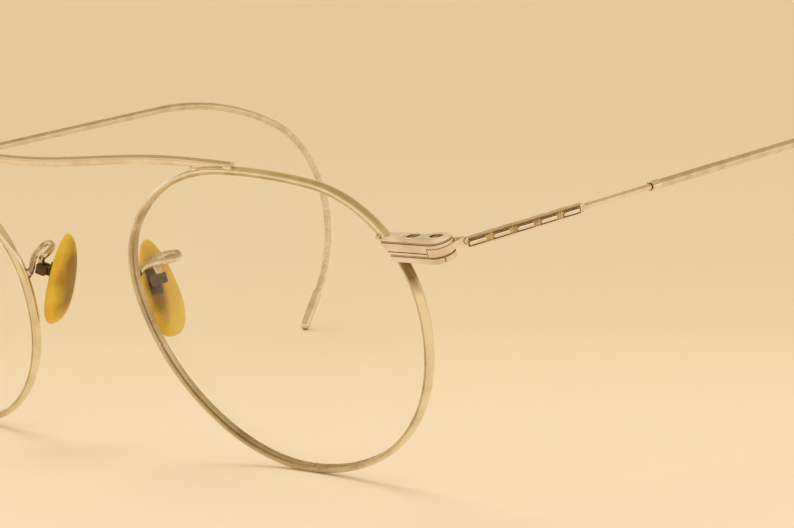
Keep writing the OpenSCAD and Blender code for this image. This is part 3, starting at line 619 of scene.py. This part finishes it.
# %% Bend the pad arms
ARM_R, FLARE, FLARE_LEN = 0.42, 0.22, 0.7
BOX_BACK_X, BOX_WALL, BOX_HALF = 2.42, 0.4, 0.62
arm_root = Vector((axis_x - REACH_NOSE - 0.1, RIM_DEPTH / 2, 22.8))


def over_box(rise, near=0, back=0):
    """A point over the back wall of the pad's box, moved nearer the pad or further back."""
    p = Vector((BOX_BACK_X + BOX_WALL / 2 - near, back - EYE_AHEAD, PIN_UP + BOX_HALF + rise))
    return Vector(PAD_AT) + pad_turn @ p


ARM_BENDS = ((0, -0.02, 0), (0, 0.3, 0), (0.15, 0.95, 0.35), (0.6, 1.95, 0.72), (1.2, 3.1, 0.8),
             (1.8, 4.15, 0.82), (2.07, 4.8, 0.88), (1.95, 5.4, 1), (1.35, 5.7, 1.15),
             (0.4, 5.35, 1.15), (-0.45, 4.6, 1.15))
ARM_END = ((1.5, 0.62, -0.1), (1.05, 0.2, -0.05), (0.45,), (-0.05,))
RAISED = {"left": (1, 1, 1, 0.7, 0.42, 0.2), "right": (-0.35, -0.35, -0.3, 0, 0.1, 0)}


def arm_bends(name):
    """The points of an arm. Each was bent by hand, so the two lie a little differently."""
    points = [arm_root + Vector(p) for p in ARM_BENDS]
    for k, rise in enumerate(RAISED[name]):
        points[k].z += rise
    return points + [over_box(*place) for place in ARM_END]


def curve_through(points, steps):
    """A smooth curve through points."""
    out = []
    for i in range(len(points) - 1):
        a, b = points[max(i - 1, 0)], points[i]
        c, d = points[i + 1], points[min(i + 2, len(points) - 1)]
        for k in range(steps):
            t = k / steps
            out.append(0.5 * (2 * b + (c - a) * t + (2 * a - 5 * b + 4 * c - d) * t * t
                              + (3 * b - a - 3 * c + d) * t ** 3))
    return out + [points[-1]]


def tube(path, radii, count):
    """Rings round a path, without twist, with a radius at each of its points."""
    rings, beside = [], Vector((0, 0, 1))
    for k, at in enumerate(path):
        ahead = (path[min(k + 1, len(path) - 1)] - path[max(k - 1, 0)]).normalized()
        beside = (beside - beside.dot(ahead) * ahead).normalized()
        across = ahead.cross(beside)
        rings.append([at + radii[k] * (math.cos(a) * beside + math.sin(a) * across)
                      for a in (2 * math.pi * i / count for i in range(count))])
    return rings


for name, side in SIDES.items():
    path = curve_through(arm_bends(name), 8)
    radii = [ARM_R + FLARE * max(0, 1 - (p - path[0]).length / FLARE_LEN) ** 2 for p in path]
    rings = [[front(*p, side) for p in ring] for ring in tube(path, radii, 20)]
    arm = skin("pad_wire_" + name, rings)
    dress(arm, "front", "wire_metal", ARM_METAL, "pad_arm_" + name)
print("pad arm:", round(sum((b - a).length for a, b in zip(path, path[1:])), 1), "mm of wire")

# %% [markdown]
# ## Solder
# Bar, end pieces and arms are held by silver solder, which stays as small pale drops where it ran
# out of the joints. A drop is a squashed ball whose radius wanders a little, half sunk in the
# metal round it.


# %% Place the drops of solder
DROP_LEVELS, DROP_POINTS = 16, 24
INNER_DROP_X, OUTER_DROP_X, BLOCK_DROP = 26.4, 32.3, (53.3, -0.75, 31.8)


def drop(name, at, size, side):
    """A lumpy drop of solder at a place, with its half-widths across, back and up."""
    rings = []
    for k in range(1, DROP_LEVELS):
        a = math.pi * k / DROP_LEVELS
        ring = []
        for i in range(DROP_POINTS):
            t = 2 * math.pi * i / DROP_POINTS
            lumps = 0.1 * math.sin(2 * t + 1.3 * at[0]) * math.sin(a)
            swell = 1 + lumps + 0.07 * math.sin(3 * a + t)
            p = Vector((math.cos(a), math.sin(a) * math.cos(t), math.sin(a) * math.sin(t))) * swell
            ring.append(front(*(at[n] + p[n] * size[n] for n in range(3)), side))
        rings.append(ring)
    made = skin(name, rings, crisp=60)
    dress(made, "front", "frame_metal", SOLDER)


for name, side in SIDES.items():
    root = arm_bends(name)[0]
    inner_top, outer_top = (brow_s(x - axis_x) + RIM_OUT for x in (INNER_DROP_X, OUTER_DROP_X))
    drop("solder_inner_" + name, (INNER_DROP_X, 0, inner_top + 0.08), (0.75, 0.4, 0.22), side)
    drop("solder_outer_" + name, (OUTER_DROP_X, -0.36, outer_top + 0.02), (0.7, 0.26, 0.2), side)
    drop("solder_block_" + name, BLOCK_DROP, (0.34, 0.34, 0.34), side)
    drop("solder_arm_" + name, (root.x, root.y + 0.1, root.z), (0.42, 0.3, 0.55), side)

# %% [markdown]
# ## Cables
# From the collar back, the temple is a core wire with a finer wire wound tightly round it, which
# makes it springy. The turns are real ridges here: a ring every sixth of a turn, with its radius
# following the winding.

# %% Wind the cables
PANTO, SPLAY, TEMPLE_OUT = math.radians(13.8), math.radians(0.7), 1.2
STRAIGHT, EASE_R, EASE_TURN, HOOK_R, HOOK_TURN = 76.3, 55, math.radians(28), 20, math.radians(100)
CABLE_FROM, CABLE_R, RIDGE, PITCH = 37.7, 0.58, 0.035, 0.36
CABLE_POINTS, RINGS_A_TURN = 18, 6
hook_y = STRAIGHT + (EASE_R - HOOK_R) * math.sin(EASE_TURN)
hook_z = -EASE_R * (1 - math.cos(EASE_TURN)) - HOOK_R * math.cos(EASE_TURN)
cable_len = STRAIGHT - CABLE_FROM + EASE_R * EASE_TURN + HOOK_R * HOOK_TURN


def on_temple(x, y, z, side):
    """A point in the frame of a temple: y along the straight wire, z up from it."""
    p = Matrix.Rotation(-SPLAY, 3, "Z") @ (Matrix.Rotation(-PANTO, 3, "X") @ Vector((x, y, z)))
    return front(hinge_x + p.x, HINGE_B + p.y, TONGUE_S + p.z, side)


def along_cable(d):
    """Place on the path and angle turned, at a distance from the collar."""
    d += CABLE_FROM
    if d < STRAIGHT:
        return d, 0, 0
    t = (d - STRAIGHT) / EASE_R
    if t < EASE_TURN:
        return STRAIGHT + EASE_R * math.sin(t), EASE_R * (math.cos(t) - 1), t
    t = EASE_TURN + (d - STRAIGHT - EASE_R * EASE_TURN) / HOOK_R
    return hook_y + HOOK_R * math.sin(t), hook_z + HOOK_R * math.cos(t), t


def cable_ring(d, side):
    """A ring of the cable whose radius follows the winding."""
    y, z, turn = along_cable(d)
    ring = []
    for i in range(CABLE_POINTS):
        a = 2 * math.pi * i / CABLE_POINTS
        phase = 2 * math.pi * d / PITCH - a
        r = CABLE_R - RIDGE * (1 - abs(math.cos(phase / 2)))
        ring.append(on_temple(TEMPLE_OUT + r * math.sin(a), y + r * math.cos(a) * math.sin(turn),
                              z + r * math.cos(a) * math.cos(turn), side))
    return ring


steps = round(cable_len / PITCH * RINGS_A_TURN)
for name, side in SIDES.items():
    rings = [cable_ring(cable_len * k / steps, side) for k in range(steps + 1)]
    cable = skin("wound_cable_" + name, rings, crisp=70)
    dress(cable, "temple_" + name, "cable_metal", CABLE_METAL, "temple_cable_" + name)
print("cable:", round(cable_len, 1), "mm,", round(cable_len / PITCH), "turns")

# %% [markdown]
# ## Temple bars
# Behind the hinge each temple is a flat bar with an engraved outer face: a sunk band with five
# raised panels in it, a pair of small ribs between panels, and a pointed end with a chevron. The
# bar is a row of rings close enough together that the relief is real, and the faces at the bottom
# of it get a darker finish: painted shade, with some tarnish. The bar turns down from the level
# tongue, tapers into the plain wire behind, and is joined to a tongue turned on its own.

# %% Draw the engraving
BAR_Z, BAR_X, BAR_TO, WIRE_R, WIRE_TO = 0.675, 0.55, 22.7, 0.375, 37
BAND_FROM, BAND_TO, BAND_FOOT, BAND_TOP, SUNK = 2.55, 22.5, -0.45, 0.49, 0.08
PANEL_FIRST, PANEL_PITCH, PANEL_LAST, PANEL_HALF, PANEL_Z = 4.4, 4.12, 4, 1.42, 0.24
PANEL_LOW, PANEL_UP, PANEL_CROWN, PANEL_SLOPE = 0.1, 0.03, 0.04, 0.2
LINE_AT, LINE_HALF, RIB_AT, RIB_HALF, RIB_SUNK = 0.3, 0.03, 0.2, 0.07, 0.02
POINT, CHEVRON_FROM, CHEVRON_TO, CHEVRON_SHARE, END_POINT = 0.8, 0.6, 0.38, 0.8, 0.4


def relief(y, z):
    """Height of the engraved face over the bar's side, at a place along and across it."""
    point = abs(z) * POINT
    if not BAND_FOOT < z < BAND_TOP:
        return 0
    if BAND_FROM - CHEVRON_FROM + point < y < BAND_FROM - CHEVRON_TO + point:
        return -SUNK * CHEVRON_SHARE
    if not BAND_FROM + point < y < BAND_TO - point * END_POINT or abs(z - LINE_AT) < LINE_HALF:
        return 0
    k = min(max(round((y - PANEL_FIRST) / PANEL_PITCH), 0), PANEL_LAST)
    along = abs(y - PANEL_FIRST - PANEL_PITCH * k)
    inside = PANEL_Z - math.hypot(max(along - PANEL_HALF + PANEL_Z, 0), z + PANEL_LOW)
    if inside > 0:
        return PANEL_UP + PANEL_CROWN * min(inside / PANEL_SLOPE, 1)
    in_link = PANEL_FIRST < y < PANEL_FIRST + PANEL_PITCH * PANEL_LAST
    if in_link and abs(abs(along - PANEL_PITCH / 2) - RIB_AT) < RIB_HALF:
        return -RIB_SUNK
    return -SUNK


print("panels on a bar:", PANEL_LAST + 1, "every", PANEL_PITCH, "mm")

# %% Cut the engraved bars
face = [-0.5 + 0.05 * k for k in range(21)]
edge = [(0.46, 0.59), (0.36, 0.66), (0.1, 0.675), (-0.3, 0.67), (-0.46, 0.6), (-0.55, 0.45),
        (-0.55, 0.15)]
bar_section = [(BAR_X, z) for z in face] + edge + [(x, -z) for x, z in reversed(edge)]
FINE_FROM, FINE_STEP = 1.8, 0.06
places = [0.35 + 0.15 * k for k in range(10)]
places += [FINE_FROM + FINE_STEP * k for k in range(round((BAR_TO - FINE_FROM) / FINE_STEP))]
places += [BAR_TO + 0.1 * k for k in range(11)]
places += [BAR_TO + 1.5 + 0.6 * k for k in range(21)] + [WIRE_TO]
LEVEL_TO, LEVEL_BEND, TAPER = 1.5, 1.6, 1
ROOT_Z, ROOT_GROW, ROOT_IN, ROOT_OUT = 0.498, 1.3, 0.1, 1.2


def blend_from(y, start, length):
    """A smooth step from 0 at the start to 1 a length further on."""
    return ease(min(max((y - start) / length, 0), 1))


def bar_cut(y, side):
    """The section of the bar or wire at a distance from the hinge."""
    level = 1 - blend_from(y, LEVEL_TO, LEVEL_BEND)
    to_wire = blend_from(y, BAR_TO, TAPER)
    high = ROOT_Z + (BAR_Z - ROOT_Z) * blend_from(y, FINE_FROM, ROOT_GROW)
    middle = TEMPLE_OUT - ROOT_IN * (1 - blend_from(y, 0, ROOT_OUT))
    ring = []
    for i, (x, z) in enumerate(bar_section):
        if i < len(face):
            x += relief(y, z)
        a = math.atan2(z, x)
        x += (WIRE_R * math.cos(a) - x) * to_wire
        z = z * high / BAR_Z
        z += (WIRE_R * math.sin(a) - z) * to_wire
        ring.append(on_temple(middle + x, y - z * math.sin(level * PANTO),
                              z * math.cos(level * PANTO) + level * y * math.tan(PANTO), side))
    return ring


TONGUE_R, TONGUE_HOLE, TONGUE_EDGE, TONGUE_STEPS = 1.7, 0.45, 0.06, 96
TONGUE_HALF = 0.5
tongue_top = [(TONGUE_HOLE, TONGUE_HALF), (TONGUE_R - TONGUE_EDGE, TONGUE_HALF),
              (TONGUE_R, TONGUE_HALF - TONGUE_EDGE)]
tongue_section = [(r, -z) for r, z in tongue_top] + tongue_top[::-1]
for name, side in SIDES.items():
    bar = skin("engraved_bar_" + name, [bar_cut(y, side) for y in places], crisp=35)
    rings = [[front(hinge_x + r * math.cos(a), HINGE_B + r * math.sin(a), TONGUE_S + z, side)
              for r, z in tongue_section]
             for a in (2 * math.pi * k / TONGUE_STEPS for k in range(TONGUE_STEPS))]
    tongue = skin("tongue_" + name, rings, closed_run=True)
    dress(bar, "temple_" + name, "temple_metal", TEMPLE_METAL, "temple_bar_" + name)
    tongue.data.materials.append(TEMPLE_METAL)
    for metal_part in (bar, tongue):
        metal_part.data.materials.append(TARNISH_AND_SHADE)
    # The sunk faces take the darker finish: painted shade, with some tarnish.
    for k in range(len(places) - 1):
        for i in range(len(face) - 1):
            y, z = (places[k] + places[k + 1]) / 2, (face[i] + face[i + 1]) / 2
            if relief(y, z) < 0:
                bar.data.polygons[k * len(bar_section) + i].material_index = 1
    combine(bar, tongue, "UNION")
print("engraved bar:", len(bar.data.polygons), "faces")

# %% [markdown]
# ## Pieces that stay as they are
# The end pieces, screws, pad boxes, collars, cores and tips are exact already. A narrow bevel
# takes the knife edges off, as wear does, and each gets its own metal. The end pieces are held
# most, so their edges are the roundest.

# %% Finish the exact pieces
HELD_EDGE, SMALL_EDGE = 0.0001, 0.00006
stays = {
    "end_piece_upper": FRAME_METAL, "end_piece_lower": FRAME_METAL, "closing_screw": SCREW_METAL,
    "hinge_screw": SCREW_METAL, "pad_box": SHADED_FITTING_METAL, "pad_pin": SHADED_FITTING_METAL,
    "pad_eye": SHADED_FITTING_METAL, "temple_collar": TEMPLE_METAL, "temple_core": CORE_METAL,
    "temple_tip": TIP_METAL}
for stem, finish in stays.items():
    for name in SIDES:
        solid = nodes[stem + "_" + name]
        for place in solid.material_slots:
            place.material = finish
        worn = solid.modifiers.new("worn_edges", "BEVEL")
        worn.width = HELD_EDGE if stem.startswith("end_piece") else SMALL_EDGE
        worn.segments = 3
        worn.limit_method = "ANGLE"
        worn.angle_limit = math.radians(35)
        worn.harden_normals = True
print("exact pieces finished:", 2 * len(stays))

# %% [markdown]
# ## Table and light
# The table top and the wall behind it are one cream surface. A wide plane is enough, because the
# picture looks along it nearly to the horizon. Painted light makes it paler at the front of the
# table and browner to the back, and a fine, shallow roughness keeps it from looking printed.

# %% Lay the table
TABLE, table_tree, table_main = shader("cream_table")
TO_THE_BACK, FRONT_AT, BACK_AT = (-0.66, 0.75, 0), -0.12, 0.88
HORIZON = (0.785, 0.600, 0.335, 1)
place = table_tree.nodes.new("ShaderNodeTexCoord")
far = vector_math(table_tree, "DOT_PRODUCT", place.outputs["Object"], TO_THE_BACK)
depth = span(table_tree, far, 0, 1, FRONT_AT, BACK_AT)
# Painted light: the cream is paler near the front of the table and browner towards the back.
CREAM_WITH_PAINTED_LIGHT = [(0.04, (0.965, 0.765, 0.498, 1)), (0.09, (0.955, 0.760, 0.482, 1)),
         (0.14, (0.925, 0.730, 0.442, 1)), (0.21, (0.865, 0.665, 0.382, 1)),
         (0.32, (0.832, 0.637, 0.370, 1)), (0.48, (0.812, 0.626, 0.358, 1)),
         (0.78, (0.793, 0.607, 0.338, 1)), (1, HORIZON)]
table_tree.links.new(ramp(table_tree, depth, CREAM_WITH_PAINTED_LIGHT), table_main.inputs["Base Color"])
table_main.inputs["Roughness"].default_value = 0.8
table_main.inputs["Specular IOR Level"].default_value = 0.1
table_tree.links.new(bump(table_tree, noise(table_tree, 900, 3), 8e-6), table_main.inputs["Normal"])
bpy.ops.mesh.primitive_plane_add(size=24, location=(0, 0, 0))
table = bpy.context.active_object
table.name = "table_top"
table.data.materials.append(TABLE)
print("table:", len(CREAM_WITH_PAINTED_LIGHT), "colours from front to back")

# %% [markdown]
# ## Light
# A bright overcast room lights the pair evenly: more than half of the light comes from everywhere.
# Two far lamps add the directions that a shadow needs, a strong one behind and to the left and a
# faint one in front, and their wide angles keep the shadow soft. Metal shows whatever surrounds
# it, but not these lamps, so for mirrored rays the room has colours of its own, by height: cream
# at the horizon, a bright band low over it, which draws the pale lines along rounded edges, and
# browns overhead, where the real room was darker. Rays that see the room directly or through a
# lens get the same colours, and only the even light on rough surfaces stays plain.


# %% Hang the lamps and light the room
def sun(name, toward, strength, degrees, colour):
    """A far lamp that shines along a direction, as wide as the given angle."""
    data = bpy.data.lights.new(name, "SUN")
    data.energy, data.angle, data.color = strength, math.radians(degrees), colour
    made = bpy.data.objects.new(name, data)
    made.rotation_euler = Vector(toward).to_track_quat("-Z", "Y").to_euler()
    made.visible_glossy = False
    bpy.context.scene.collection.objects.link(made)


DAYLIGHT = (1, 0.985, 0.96)
sun("window", (0.55, -0.25, -1), 0.9, 38, DAYLIGHT)
sun("far_window", (-0.5, 0.75, -0.9), 0.25, 50, DAYLIGHT)
world = bpy.data.worlds.new("room")
world.use_nodes = True
bpy.context.scene.world = world
room = world.node_tree
background = room.nodes["Background"]
background.inputs["Color"].default_value = (1, 0.99, 0.97, 1)
background.inputs["Strength"].default_value = 0.69
mirrored = room.nodes.new("ShaderNodeBackground")
toward = room.nodes.new("ShaderNodeTexCoord")
height = room.nodes.new("ShaderNodeSeparateXYZ")
room.links.new(toward.outputs["Generated"], height.inputs["Vector"])
BRIGHT_BAND = (1.12, 1.02, 0.86, 1)
ROOM = [(0, HORIZON), (0.07, (0.74, 0.58, 0.35, 1)), (0.11, BRIGHT_BAND), (0.27, BRIGHT_BAND),
        (0.31, (0.62, 0.48, 0.27, 1)), (0.42, (0.50, 0.37, 0.17, 1)), (0.56, (0.70, 0.54, 0.26, 1)),
        (0.74, (0.64, 0.49, 0.22, 1)), (0.85, (0.44, 0.32, 0.14, 1)), (1, (0.46, 0.34, 0.16, 1))]
room.links.new(ramp(room, height.outputs["Z"], ROOM), mirrored.inputs["Color"])
rays = room.nodes.new("ShaderNodeLightPath")
seen = rays.outputs["Is Camera Ray"]
for kind in ("Is Glossy Ray", "Is Transmission Ray"):
    either = room.nodes.new("ShaderNodeMath")
    either.operation = "MAXIMUM"
    room.links.new(seen, either.inputs[0])
    room.links.new(rays.outputs[kind], either.inputs[1])
    seen = either.outputs["Value"]
mix = room.nodes.new("ShaderNodeMixShader")
room.links.new(seen, mix.inputs["Fac"])
room.links.new(background.outputs["Background"], mix.inputs[1])
room.links.new(mirrored.outputs["Background"], mix.inputs[2])
room.links.new(mix.outputs["Shader"], room.nodes["World Output"].inputs["Surface"])
